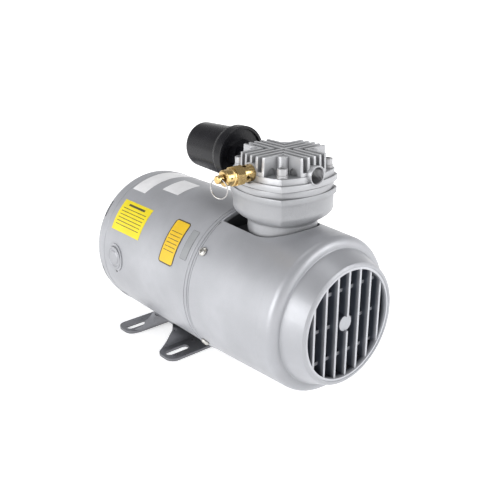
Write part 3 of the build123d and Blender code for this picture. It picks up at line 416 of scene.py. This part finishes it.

# The valve spring shortens as the stem is pulled, so it is wound here with closed ends.


def wind_spring(x0, x1, radius, wire, turns, around=12):
    import bmesh
    bm = bmesh.new()
    steps = int(turns * 36)
    zc = 0.1917
    prev = None
    first = None
    for i in range(steps + 1):
        t = i / steps
        # the first and last turn lie flat
        e = min(max((t * turns - 0.8) / (turns - 1.6), 0.0), 1.0)
        flat = 2.0 * wire * (min(t * turns, 0.8) / 0.8 + max(t * turns - (turns - 0.8), 0.0) / 0.8) * 0.5
        x = x0 + wire + flat + (x1 - x0 - 4.0 * wire) * e
        a = 2 * math.pi * t * turns
        c, s = math.cos(a), math.sin(a)
        ring = []
        for j in range(around):
            b = 2 * math.pi * j / around
            r = radius + wire * math.cos(b)
            ring.append(bm.verts.new((x + wire * math.sin(b), YH + r * c, zc + r * s)))
        if prev:
            for j in range(around):
                k = (j + 1) % around
                bm.faces.new((prev[j], prev[k], ring[k], ring[j]))
        else:
            first = ring
        prev = ring
    bm.faces.new(first)
    bm.faces.new(list(reversed(prev)))
    bmesh.ops.recalc_face_normals(bm, faces=bm.faces[:])
    me = bpy.data.meshes.new("valve_spring")
    bm.to_mesh(me)
    bm.free()
    for f in me.polygons:
        f.use_smooth = True
    o = bpy.data.objects.new("valve_spring", me)
    scene.collection.objects.link(o)
    me.materials.append(M["spring_steel"])
    return o


spring = wind_spring(-0.0621, -0.04125, 0.00352, 0.00044, 7.0)
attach(spring, "root")
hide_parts("relief_spring")
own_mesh(spring)

# Rolled lips where the shell and the shroud meet the end bells.


def lip(name, y0, y1, r0, r1, gap=None, around=192):
    """Bead round the motor axis; gap is an (angle, angle) in degrees from +X over the top where it's left out."""
    import bmesh
    bm = bmesh.new()
    prof = []
    n = 8
    for i in range(n + 1):
        t = math.pi * i / n
        prof.append(((y0 + y1) / 2 - (y1 - y0) / 2 * math.cos(t), r0 + (r1 - r0) * math.sin(t) ** 0.8))
    prof += [(y1, r0 - 0.0006), (y0, r0 - 0.0006)]
    if gap:
        span, start = 360.0 - (gap[1] - gap[0]), gap[1]
    else:
        span, start = 360.0, 0.0
    loops = []
    count = around + 1 if gap else around
    for i in range(count):
        a = math.radians(start + span * i / around)
        loops.append([bm.verts.new((r * math.cos(a), y, ZA + r * math.sin(a))) for y, r in prof])
    k = len(prof)
    for i in range(around if gap else count):
        p, q = loops[i], loops[(i + 1) % count]
        for j in range(k):
            bm.faces.new((p[j], p[(j + 1) % k], q[(j + 1) % k], q[j]))
    if gap:
        bm.faces.new(list(reversed(loops[0])))
        bm.faces.new(loops[-1])
    bmesh.ops.recalc_face_normals(bm, faces=bm.faces[:])
    me = bpy.data.meshes.new(name)
    bm.to_mesh(me)
    bm.free()
    for f in me.polygons:
        f.use_smooth = True
    me.materials.append(M["grey_paint"])
    o = bpy.data.objects.new(name, me)
    scene.collection.objects.link(o)
    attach(o, "root")
    return o


lip("lip_front_shell", -0.0736, -0.0722, 0.0708, 0.07155)
lip("lip_front_shroud", -0.0801, -0.0788, 0.0705, 0.07150, gap=(61.5, 118.5))
lip("lip_rear_shell", 0.0617, 0.0628, 0.0708, 0.07135)

# Cast, stamped and moulded edges are slightly rounded.
for names, width, angle in (("cylinder_head", 0.00045, 38), ("valve_plate diaphragm_housing", 0.0004, 38), ("base_bracket", 0.00025, 70),
                            ("head_bolts head_washers", 0.0002, 40), ("intake_grille", 0.0002, 45)):
    for n in names.split():
        o = NODES[n]
        w = o.modifiers.new("join", "WELD")
        w.merge_threshold = 0.000002
        b = o.modifiers.new("round", "BEVEL")
        b.width = width
        b.segments = 2
        b.limit_method = "ANGLE"
        b.angle_limit = math.radians(angle)
        b.use_clamp_overlap = True

# ------------------------------------------------------------------ floor, light, camera


def floor():
    import bmesh
    bm = bmesh.new()
    R = 60.0
    rings = (0.0, 0.3, 0.8, 2.0, 6.0, 20.0, R)
    prev = None
    for r in rings:
        if r == 0:
            prev = [bm.verts.new((0, 0, 0))]
            continue
        cur = [bm.verts.new((r * math.cos(2 * math.pi * i / 48), r * math.sin(2 * math.pi * i / 48), 0)) for i in range(48)]
        for i in range(48):
            j = (i + 1) % 48
            if len(prev) == 1:
                bm.faces.new((prev[0], cur[i], cur[j]))
            else:
                bm.faces.new((prev[i], cur[i], cur[j], prev[j]))
        prev = cur
    me = bpy.data.meshes.new("floor")
    bm.to_mesh(me)
    bm.free()
    o = bpy.data.objects.new("floor", me)
    scene.collection.objects.link(o)
    m = Mat("floor_sheet")
    n = m.noise(3.0, 2.0, 0.5)
    m.set(Roughness=0.9)
    m.b.inputs["Specular IOR Level"].default_value = 0.1
    x, y, z = m.xyz()
    far = m.math("SQRT", m.math("ADD", m.math("MULTIPLY", x, x), m.math("MULTIPLY", y, y)))
    m.link(m.mapr(far, 0.2, 1.0, 0.5, 0.9), m.b.inputs["Emission Strength"])
    m.b.inputs["Emission Color"].default_value = (1, 1, 1, 1)
    me.materials.append(m.done(m.mix(m.mapr(n, 0.3, 0.7, 0, 1), (0.90, 0.90, 0.90), (0.93, 0.93, 0.93))))
    return o


floor()

world = bpy.data.worlds.new("studio")
scene.world = world
world.use_nodes = True
wt = world.node_tree
wt.nodes.clear()
wo = wt.nodes.new("ShaderNodeOutputWorld")
bg = wt.nodes.new("ShaderNodeBackground")
tc = wt.nodes.new("ShaderNodeTexCoord")
sp = wt.nodes.new("ShaderNodeSeparateXYZ")
cr = wt.nodes.new("ShaderNodeValToRGB")
mr = wt.nodes.new("ShaderNodeMapRange")
mr.inputs["From Min"].default_value = -0.3
mr.inputs["From Max"].default_value = 1.0
wt.links.new(tc.outputs["Generated"], sp.inputs[0])
wt.links.new(sp.outputs["Z"], mr.inputs["Value"])
wt.links.new(mr.outputs["Result"], cr.inputs["Fac"])
el = cr.color_ramp.elements
el[0].position, el[0].color = 0.0, (1.0, 1.0, 1.0, 1)
el[1].position, el[1].color = 1.0, (0.16, 0.16, 0.17, 1)
e = el.new(0.42)
e.color = (1.0, 1.0, 1.0, 1)
e = el.new(0.60)
e.color = (0.38, 0.38, 0.39, 1)
wt.links.new(cr.outputs["Color"], bg.inputs["Color"])
bg.inputs["Strength"].default_value = 1.0
wt.links.new(bg.outputs["Background"], wo.inputs["Surface"])


def softbox(name, at, to, w, h, power, tint=(1, 1, 1)):
    d = bpy.data.lights.new(name, "AREA")
    d.shape = "RECTANGLE"
    d.size, d.size_y = w, h
    d.energy = power
    d.color = tint
    o = bpy.data.objects.new(name, d)
    o.location = at
    o.rotation_euler = (Vector(to) - Vector(at)).to_track_quat("-Z", "Y").to_euler()
    scene.collection.objects.link(o)
    return o


C = (0.0, -0.06, 0.10)
softbox("key_left", (-1.6, 0.1, 0.65), C, 1.2, 1.0, 18)
softbox("front_right", (0.9, -1.6, 0.8), C, 1.0, 1.0, 15)
softbox("top", (0.2, 0.3, 1.7), C, 0.9, 0.9, 5)

cam = bpy.data.cameras.new("view")
cam.lens = 50.6
cam.sensor_width = 36.0
cam.clip_start = 0.01
cam.clip_end = 200.0
co = bpy.data.objects.new("view", cam)
co.location = (-0.3870, -0.52845, 0.3375)
co.rotation_euler = Vector((0.6074, 0.7052, -0.3659)).to_track_quat("-Z", "Y").to_euler()
scene.collection.objects.link(co)
scene.camera = co
scene.view_settings.view_transform = "Standard"
